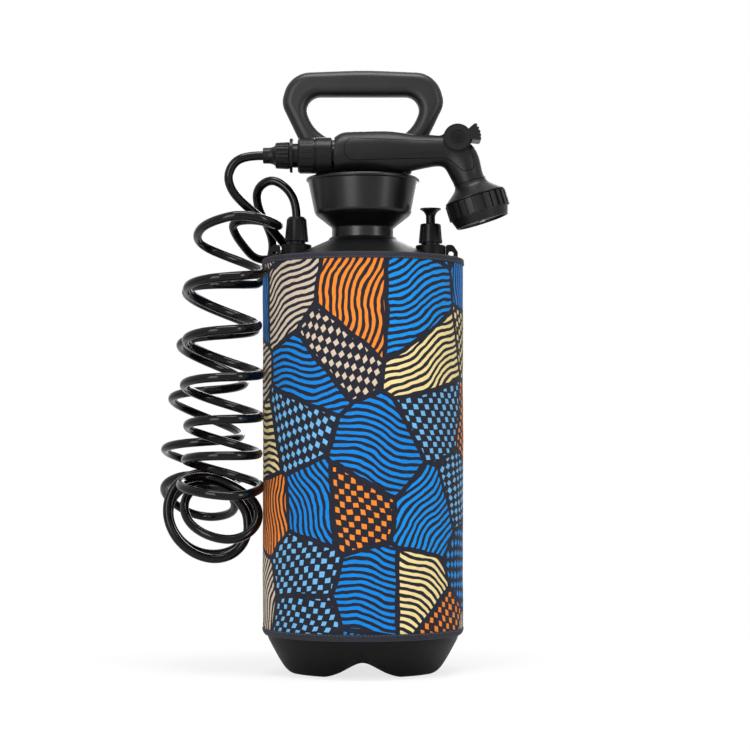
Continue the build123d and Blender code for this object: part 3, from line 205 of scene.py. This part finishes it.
outlet_lead = [
    (-63, 0, 427.7),
    (-63, 0, 442),
    (-71, 2, 458),
    (-87, 5, 468),
    (-102, 11, 459),
    (-101, 20, 441),
    (-91, 29, 423),
    (-87, 43, 409),
    (-90, 54, 395),
    (-96, 53, 382),
]
# From the front leg's last left turn over the front, back behind it, down behind the lug and up into the hand shower
hand_lead = [
    (-154, -28, 405),
    (-154, -46, 410),
    (-147, -63, 416),
    (-132, -75, 421),
    (-112, -79, 425),
    (-88, -72, 421),
    (-76, -56, 416),
    (-82, -40, 420),
    (-104, -25, 426),
    (-124, -10, 425),
    (-122, 6, 415),
    (-114, 18, 404),
    (-106, 29, 395),
    (-95, 40, 392.5),
    (-80, 38, 396.5),
    (-72, 24, 402),
    (-79, 9, 411),
    (-93, -2, 426),
    (-110, -14, 439),
    (-123, -25, 452),
    (-127, -31, 466),
    (-120, -31, 480),
    (-106, -30, 484.9),
    (-93.4, -30, 484.9),
]
first_turn, middle_turn, last_turn = 0.1, 7, 14.25
rear_points = np.concatenate([np.array(outlet_lead) * MM, coil_points(first_turn, middle_turn)])
front_points = np.concatenate([coil_points(middle_turn, last_turn)[1:], np.array(hand_lead) * MM])
joint_point = (rear_points[-1] + front_points[0]) / 2
hose_lines = {
    "hose_from_outlet": np.concatenate([rear_points, joint_point[None]]),
    "hose_to_hand_shower": np.concatenate([joint_point[None], front_points]),
}


def hose(name, points):
    """A round tube along the smooth spline of the points, as a mesh piece."""
    path = line_points(points)
    piece = add_object(name, as_mesh(spline(name + "_line", points, hose_diameter / 2 * MM)))
    piece.data.polygons.foreach_set("use_smooth", np.ones(len(piece.data.polygons), bool))
    length = float(np.linalg.norm(np.diff(path, axis=0), axis=1).sum())
    print(name, "is", round(length, 3), "m long")
    return piece, path, round(length, 2)


rear_hose, rear_path, rear_length = hose("hose_from_outlet", hose_lines["hose_from_outlet"])
front_hose, front_path, front_length = hose("hose_to_hand_shower", hose_lines["hose_to_hand_shower"])
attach(rear_hose, "reservoir")
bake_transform(front_hose)
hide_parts("hose_outlet_lead", "hose_coil")
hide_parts("hose_hand_lead")

# Sleeve: a tube of soft foam cloth, a little uneven, with its seam at the back
columns, rows = 360, 90
edge_zone = 12  # near its edges the cloth is drawn tight and round
angle = np.linspace(0, TURN, columns, endpoint=False)[None, :] + math.pi / 2
height = np.linspace(sleeve_low, sleeve_high, rows)[:, None]
ripple = 0.22 * np.sin(3 * angle + 0.02 * height) * np.sin(0.05 * height + 2 * angle)
ripple = ripple + 0.15 * np.sin(9 * angle - 0.06 * height) * np.sin(0.11 * height)
edge = np.clip(np.minimum(height - sleeve_low, sleeve_high - height) / edge_zone, 0, 1)
outside = sleeve_outer + ripple * edge
inside = sleeve_inner + 0 * outside


def round_tank(radius, height):
    """Points at a radius and height round the tank's axis, in metres."""
    return np.stack([radius * np.cos(angle), radius * np.sin(angle), height + 0 * angle], axis=-1) * MM


wall = np.concatenate([round_tank(outside, height), round_tank(inside, height)[::-1]])
girth = (angle - math.pi / 2) * sleeve_outer * MM
flat_place = np.stack([girth + 0 * height, height * MM + 0 * girth], axis=-1)
next_place = flat_place.copy()
next_place[:, :-1] = flat_place[:, 1:]
next_place[:, -1, 0] = TURN * sleeve_outer * MM
corners_here = np.concatenate([flat_place, flat_place[::-1]])
corners_next = np.concatenate([next_place, next_place[::-1]])
corners_up = np.roll(corners_here, -1, axis=0)
corners_up_next = np.roll(corners_next, -1, axis=0)
sleeve_uv = np.stack([corners_here, corners_next, corners_up_next, corners_up], axis=2)
sleeve = surface("sleeve", wall, closed_v=True, uv=sleeve_uv)
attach(sleeve, "reservoir")
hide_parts("neoprene_sleeve")

# Cross-sections of the two bindings, as (distance from the axis, height)
top_profile = [
    (95.1, 383.9),
    (95.9, 384.0),
    (95.8, 389.4),
    (93.4, 390.3),
    (91.75, 389.2),
    (91.85, 385.0),
    (94.6, 385.0),
]
low_profile = [(94.6, 41.9), (95.5, 41.5), (95.4, 38.5), (93.3, 35.0), (91.4, 35.0), (91.9, 41.5)]
top_binding = ring("sleeve_top_edge", rounded(top_profile), sway=0.05)
low_hem = ring("sleeve_low_edge", rounded(low_profile), sway=0.04)


def stitches(name, radius, height, pitch, length, thickness):
    """A row of short threads round the tank: each an oval ring profile carried along a short arc."""
    count = int(TURN * radius / pitch)
    sides, steps = 6, 7
    u = np.linspace(0, TURN, sides, endpoint=False)
    v = np.linspace(-1, 1, steps)
    fat = np.sqrt(np.clip(1 - v**4, 0.0, 1)) + 0.02
    start = np.arange(count) * TURN / count
    theta = start[:, None, None] + (v * length / 2 / radius)[None, :, None] + 0 * u
    out = radius + thickness * fat[None, :, None] * np.cos(u)
    up = height + 0 * theta + 0.9 * thickness * fat[None, :, None] * np.sin(u)
    points = np.stack([out * np.cos(theta), out * np.sin(theta), up], axis=-1) * MM
    base = np.arange(count * steps * sides).reshape(count, steps, sides)
    wrap = np.concatenate([base, base[:, :, :1]], axis=2)
    quads = np.stack([wrap[:, :-1, :-1], wrap[:, 1:, :-1], wrap[:, 1:, 1:], wrap[:, :-1, 1:]], axis=-1)
    caps = np.concatenate([base[:, 0, :], base[:, -1, ::-1]])
    mesh = bpy.data.meshes.new(name)
    mesh.from_pydata(points.reshape(-1, 3).tolist(), [], quads.reshape(-1, 4).tolist() + caps.tolist())
    mesh.polygons.foreach_set("use_smooth", np.ones(len(mesh.polygons), bool))
    return add_object(name, mesh)


top_stitches = stitches("top_edge_stitches", 95.85, 385.3, 3.4, 2.4, 0.28)
low_stitches = stitches("low_edge_stitches", 95.45, 40.6, 3.6, 2.5, 0.3)
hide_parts("sleeve_top_binding")
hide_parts("sleeve_bottom_binding")
for piece in (top_binding, low_hem, top_stitches, low_stitches):
    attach(piece, "reservoir")


# Materials
class Finish:
    """A material under construction, with short ways to add its nodes."""

    def __init__(self, name):
        self.material = bpy.data.materials.new(name)
        self.material.use_nodes = True
        self.tree = self.material.node_tree
        self.shader = self.tree.nodes["Principled BSDF"]

    def node(self, kind, inputs=(), **settings):
        """Adds a node; inputs are (socket, value or another node's output)."""
        made = self.tree.nodes.new(kind)
        for key, value in settings.items():
            setattr(made, key, value)
        for socket, value in inputs:
            if isinstance(value, bpy.types.NodeSocket):
                self.tree.links.new(value, made.inputs[socket])
            else:
                made.inputs[socket].default_value = value
        return made

    def math(self, operation, a, b=0.0):
        """One number from one or two others."""
        return self.node("ShaderNodeMath", [(0, a), (1, b)], operation=operation).outputs[0]

    def mix(self, share, a, b):
        """A colour between two others."""
        made = self.node("ShaderNodeMix", data_type="RGBA")
        for socket, value in ((0, share), (6, a), (7, b)):
            if isinstance(value, bpy.types.NodeSocket):
                self.tree.links.new(value, made.inputs[socket])
            else:
                made.inputs[socket].default_value = value
        return made.outputs[2]

    def noise(self, place, scale, detail=3.0):
        """Cloudy noise of so many lumps a metre."""
        return self.node("ShaderNodeTexNoise", [("Vector", place), ("Scale", scale), ("Detail", detail)]).outputs[0]

    def place(self):
        """Where a point is on the piece."""
        return self.node("ShaderNodeTexCoord").outputs["Object"]

    def set(self, socket, value):
        """Sets or feeds one of the shader's sockets."""
        if isinstance(value, bpy.types.NodeSocket):
            self.tree.links.new(value, self.shader.inputs[socket])
        else:
            self.shader.inputs[socket].default_value = value

    def bump(self, height, distance, strength=1.0):
        """Feeds a height into the shader's normal; distance is in metres."""
        made = self.node("ShaderNodeBump", [("Height", height), ("Distance", distance), ("Strength", strength)])
        self.set("Normal", made.outputs[0])


def spread(finish, value, low, high):
    """A number from low to high as value goes from 0.3 to 0.7."""
    made = finish.node(
        "ShaderNodeMapRange",
        [("Value", value), ("From Min", 0.3), ("From Max", 0.7), ("To Min", low), ("To Max", high)],
    )
    return made.outputs[0]


def plastic(name, colour, roughness, grain=900.0, depth=0.00006, dust=0.25, specular=0.5, patchy=0.05):
    """Moulded plastic with a grain of so many lumps a metre and so many metres deep, slow changes of gloss (patchy),
    and a little dust and handling wear in its colour."""
    made = Finish(name)
    place = made.place()
    cloud = made.noise(place, 18.0, 4.0)
    fine = made.noise(place, 220.0, 3.0)
    dark = (*[0.8 * c for c in colour], 1)
    pale = (*[c * (1 + dust) + 0.004 * dust for c in colour], 1)
    made.set("Base Color", made.mix(spread(made, cloud, 0.0, 1.0), dark, pale))
    both = made.math("ADD", made.math("MULTIPLY", cloud, 0.6), made.math("MULTIPLY", fine, 0.4))
    made.set("Roughness", spread(made, both, roughness - patchy, roughness + patchy))
    made.set("Specular IOR Level", specular)
    made.bump(made.noise(place, grain, 2.0), depth)
    return made.material


finishes = {
    "tank_plastic": plastic("tank_black", (0.0025, 0.0026, 0.003), 0.46, 1100.0, 0.00006, 0.25, 0.12),
    "bowl_plastic": plastic("bowl_black", (0.0022, 0.0024, 0.0028), 0.3, 500.0, 0.000002, 0.05, 0.34, patchy=0.01),
    "handle_plastic": plastic("handle_black", (0.0045, 0.0047, 0.0055), 0.4, 900.0, 0.00003, 0.25, 0.3),
    "fitting_plastic": plastic("fitting_black", (0.0022, 0.0024, 0.003), 0.36, 900.0, 0.00003, 0.25, 0.16),
    "hand_plastic": plastic("hand_shower_black", (0.004, 0.0041, 0.0048), 0.4, 1000.0, 0.00005, 0.25, 0.2),
    "inner_plastic": plastic("pale_plastic", (0.55, 0.55, 0.52), 0.4, 700.0, 0.00003, 0.05),
    "seal_rubber": plastic("seal_rubber", (0.008, 0.008, 0.008), 0.7, 600.0, 0.00003, 0.25, 0.2),
    "hose_plastic": plastic("hose_black", (0.0015, 0.0016, 0.002), 0.11, 260.0, 0.000004, 0.15, 0.2, patchy=0.02),
}
steel = Finish("screw_steel")
steel.set("Base Color", steel.mix(steel.noise(steel.place(), 120.0), (0.5, 0.5, 0.5, 1), (0.62, 0.61, 0.6, 1)))
steel.set("Metallic", 1.0)
steel.set("Roughness", spread(steel, steel.noise(steel.place(), 400.0), 0.25, 0.4))
finishes["spring_steel"] = steel.material

binding_cloth = Finish("binding_cloth")
cloth_place = binding_cloth.place()
ribs = binding_cloth.node("ShaderNodeTexWave", [("Vector", cloth_place), ("Scale", 420.0), ("Distortion", 2.0)])
ribs.bands_direction = "Z"
binding_cloth.set(
    "Base Color",
    binding_cloth.mix(binding_cloth.noise(cloth_place, 700.0), (0.012, 0.013, 0.019, 1), (0.032, 0.034, 0.044, 1)),
)
binding_cloth.set("Roughness", spread(binding_cloth, ribs.outputs["Fac"], 0.8, 0.95))
binding_cloth.set("Sheen Weight", 0.05)
binding_cloth.set("Specular IOR Level", 0.15)
binding_cloth.bump(ribs.outputs["Fac"], 0.00015)
finishes["binding_fabric"] = binding_cloth.material
thread = Finish("stitch_thread")
thread.set(
    "Base Color",
    thread.mix(thread.noise(thread.place(), 1500.0), (0.03, 0.032, 0.04, 1), (0.10, 0.105, 0.12, 1)),
)
thread.set("Roughness", spread(thread, thread.noise(thread.place(), 900.0), 0.7, 0.9))


# Printed cloth: patches of wavy stripes and of little lozenges, in blues, cream and orange on a dark ground
print_colours = (
    (0.0, (0.001, 0.21, 0.66, 1)),
    (0.30, (0.15, 0.43, 0.74, 1)),
    (0.46, (0.002, 0.25, 0.72, 1)),
    (0.62, (0.62, 0.50, 0.38, 1)),
    (0.76, (0.84, 0.23, 0.02, 1)),
    (0.90, (0.82, 0.66, 0.30, 1)),
)
ground_colour = (0.011, 0.012, 0.020, 1)
patches_per_metre = 15.0
patch_shapes = {"Scale": patches_per_metre, "Randomness": 0.85}
stripe_pitch = 0.0062
lozenges_across, lozenges_up = 138.0, 104.0  # per metre
striped_share = 0.46  # the share of patches that have stripes
gap_share = 0.035  # the dark gap between patches, as a share of a patch


def printed_cloth():
    """The sleeve's cloth: the print is worked out from the cloth's own flat place, in metres."""
    made = Finish("printed_cloth")
    flat = made.node("ShaderNodeUVMap").outputs[0]
    wobble = made.node("ShaderNodeTexNoise", [("Vector", flat), ("Scale", 45.0), ("Detail", 2.0)])
    middle = (1, (0.5, 0.5, 0.5))
    shift = made.node("ShaderNodeVectorMath", [(0, wobble.outputs["Color"]), middle], operation="SUBTRACT")
    push = made.node("ShaderNodeVectorMath", [(0, shift.outputs[0]), ("Scale", 0.006)], operation="SCALE")
    drawn = made.node("ShaderNodeVectorMath", [(0, flat), (1, push.outputs[0])], operation="ADD").outputs[0]
    cells = made.node("ShaderNodeTexVoronoi", [("Vector", drawn), *patch_shapes.items()], voronoi_dimensions="2D")
    border = made.node("ShaderNodeTexVoronoi", [("Vector", drawn), *patch_shapes.items()], voronoi_dimensions="2D")
    border.feature = "DISTANCE_TO_EDGE"
    dice = made.node("ShaderNodeSeparateColor", [(0, cells.outputs["Color"])]).outputs
    turned = made.node(
        "ShaderNodeVectorRotate",
        [("Vector", drawn), ("Angle", made.math("MULTIPLY", dice[0], TURN))],
        rotation_type="Z_AXIS",
    ).outputs[0]
    parts = made.node("ShaderNodeSeparateXYZ", [(0, turned)]).outputs
    bend = made.math("MULTIPLY", made.math("SINE", made.math("MULTIPLY", parts[1], 95.0)), 0.0035)
    across = made.math("ADD", parts[0], bend)
    stripe = made.math("SINE", made.math("MULTIPLY", across, TURN / stripe_pitch))
    stripe = made.math("GREATER_THAN", stripe, 0.0)
    first, second = (
        made.math("ABSOLUTE", made.math("SUBTRACT", made.math("FRACT", made.math("MULTIPLY", part, count)), 0.5))
        for part, count in ((parts[0], lozenges_across), (parts[1], lozenges_up))
    )
    size = made.math("ADD", 0.30, made.math("MULTIPLY", wobble.outputs[0], 0.16))
    lozenge = made.math("LESS_THAN", made.math("ADD", first, second), size)
    kind = made.math("GREATER_THAN", dice[1], striped_share)
    marks = made.math(
        "ADD",
        made.math("MULTIPLY", stripe, made.math("SUBTRACT", 1.0, kind)),
        made.math("MULTIPLY", lozenge, kind),
    )
    marks = made.math("MULTIPLY", marks, made.math("GREATER_THAN", border.outputs["Distance"], gap_share))
    # The cloth is printed on its outer face only
    level = made.node("ShaderNodeVectorMath", [(0, made.place()), (1, (1, 1, 0))], operation="MULTIPLY").outputs[0]
    from_axis = made.node("ShaderNodeVectorMath", [(0, level)], operation="LENGTH").outputs["Value"]
    middle_radius = (sleeve_inner + sleeve_outer) / 2 * MM
    marks = made.math("MULTIPLY", marks, made.math("GREATER_THAN", from_axis, middle_radius))
    ramp = made.node("ShaderNodeValToRGB", [(0, dice[2])])
    ramp.color_ramp.interpolation = "CONSTANT"
    ramp.color_ramp.elements.remove(ramp.color_ramp.elements[1])
    ramp.color_ramp.elements[0].color = print_colours[0][1]
    for position, colour in print_colours[1:]:
        ramp.color_ramp.elements.new(position).color = colour
    fade = made.noise(flat, 260.0, 4.0)
    ink = made.mix(made.math("MULTIPLY", fade, 0.25), ramp.outputs[0], ground_colour)
    made.set("Base Color", made.mix(marks, ground_colour, ink))
    weave_x = made.node("ShaderNodeTexWave", [("Vector", flat), ("Scale", 190.0), ("Distortion", 0.6)])
    weave_x.bands_direction = "X"
    weave_y = made.node("ShaderNodeTexWave", [("Vector", flat), ("Scale", 230.0), ("Distortion", 0.6)])
    weave_y.bands_direction = "Y"
    weave = made.math("MULTIPLY", weave_x.outputs["Fac"], weave_y.outputs["Fac"])
    made.bump(weave, 0.00022, 0.9)
    made.set("Roughness", spread(made, fade, 0.72, 0.86))
    made.set("Sheen Weight", 0.03)
    made.set("Specular IOR Level", 0.15)
    return made.material


finishes["sleeve_fabric"] = printed_cloth()

slot_of = {row["node"]: row["material_slot"] for row in frame["record"]["subparts"]}
outer_faces = {"valve_spool": "bowl_plastic", "spool_screws": "fitting_plastic"}
for name, node in nodes.items():
    node.data.materials.clear()
    node.data.materials.append(finishes[outer_faces.get(name, slot_of[name])])
for piece in (rear_hose, front_hose):
    piece.data.materials.clear()
    piece.data.materials.append(finishes["hose_plastic"])
sleeve.data.materials.append(finishes["sleeve_fabric"])
for piece in (top_binding, low_hem):
    piece.data.materials.append(finishes["binding_fabric"])
for piece in (top_stitches, low_stitches):
    piece.data.materials.append(thread.material)

# Floor, world and lamps
floor_mesh = bpy.data.meshes.new("floor")
floor_mesh.from_pydata([(-4, -4, 0), (4, -4, 0), (4, 4, 0), (-4, 4, 0)], [], [(0, 1, 2, 3)])
floor = add_object("floor", floor_mesh)
floor.location.z = -0.0004
floor_finish = Finish("pale_floor")
floor_finish.set("Base Color", (0.86, 0.86, 0.86, 1))
floor_finish.set("Roughness", 0.9)
glow = floor_finish.node("ShaderNodeEmission", [("Color", (1, 1, 1, 1)), ("Strength", 1.0)])
rays = floor_finish.node("ShaderNodeLightPath")
from_middle = floor_finish.node("ShaderNodeVectorMath", [(0, floor_finish.place())], operation="LENGTH")
fade_out = floor_finish.node(
    "ShaderNodeMapRange",
    [
        ("Value", from_middle.outputs["Value"]),
        ("From Min", 0.15),
        ("From Max", 0.75),
        ("To Min", 0.75),
        ("To Max", 1.0),
    ],
)
share = floor_finish.math("MULTIPLY", rays.outputs["Is Camera Ray"], fade_out.outputs[0])
blend_shader = floor_finish.node(
    "ShaderNodeMixShader", [(0, share), (1, floor_finish.shader.outputs[0]), (2, glow.outputs[0])]
)
floor_finish.tree.links.new(blend_shader.outputs[0], floor_finish.tree.nodes["Material Output"].inputs[0])
floor.data.materials.append(floor_finish.material)

sky_light = 0.4  # the light that the surroundings give the part, where 1 is what they look like
world = bpy.data.worlds.new("studio")
bpy.context.scene.world = world
world.use_nodes = True
sky = world.node_tree
sky_rays = sky.nodes.new("ShaderNodeLightPath")
seen = sky.nodes.new("ShaderNodeMath")
seen.operation = "MAXIMUM"
sky.links.new(sky_rays.outputs["Is Camera Ray"], seen.inputs[0])
sky.links.new(sky_rays.outputs["Is Transmission Ray"], seen.inputs[1])
seen_or_shone = sky.nodes.new("ShaderNodeMath")
seen_or_shone.operation = "MAXIMUM"
sky.links.new(seen.outputs[0], seen_or_shone.inputs[0])
sky.links.new(sky_rays.outputs["Is Glossy Ray"], seen_or_shone.inputs[1])
sky_strength = sky.nodes.new("ShaderNodeMapRange")
sky_strength.inputs["To Min"].default_value = sky_light
sky_strength.inputs["To Max"].default_value = 1.0
sky.links.new(seen_or_shone.outputs[0], sky_strength.inputs["Value"])
sky.nodes["Background"].inputs[0].default_value = (1, 1, 1, 1)
sky.links.new(sky_strength.outputs[0], sky.nodes["Background"].inputs[1])


def lamp(name, place, target, size, power):
    """A square soft lamp at place that faces target; power is in watts."""
    data = bpy.data.lights.new(name, "AREA")
    data.shape = "RECTANGLE"
    data.size, data.size_y = size
    data.energy = power
    made = add_object(name, data)
    made.location = place
    made.rotation_euler = (made.location - Vector(target)).to_track_quat("Z", "Y").to_euler()


lamp("left_window", (-0.75, -1.55, 0.72), (0, 0, 0.72), (0.7, 1.4), 19)
lamp("right_window", (1.45, -1.2, 0.72), (0, 0, 0.72), (0.3, 1.4), 11)
lamp("overhead", (0, -0.3, 1.7), (0, 0, 0.3), (0.9, 0.5), 18)
lamp("back_window", (0.4, 1.8, 1.0), (0, 0, 0.3), (1.0, 1.0), 14)

bpy.context.scene.view_settings.view_transform = "Standard"
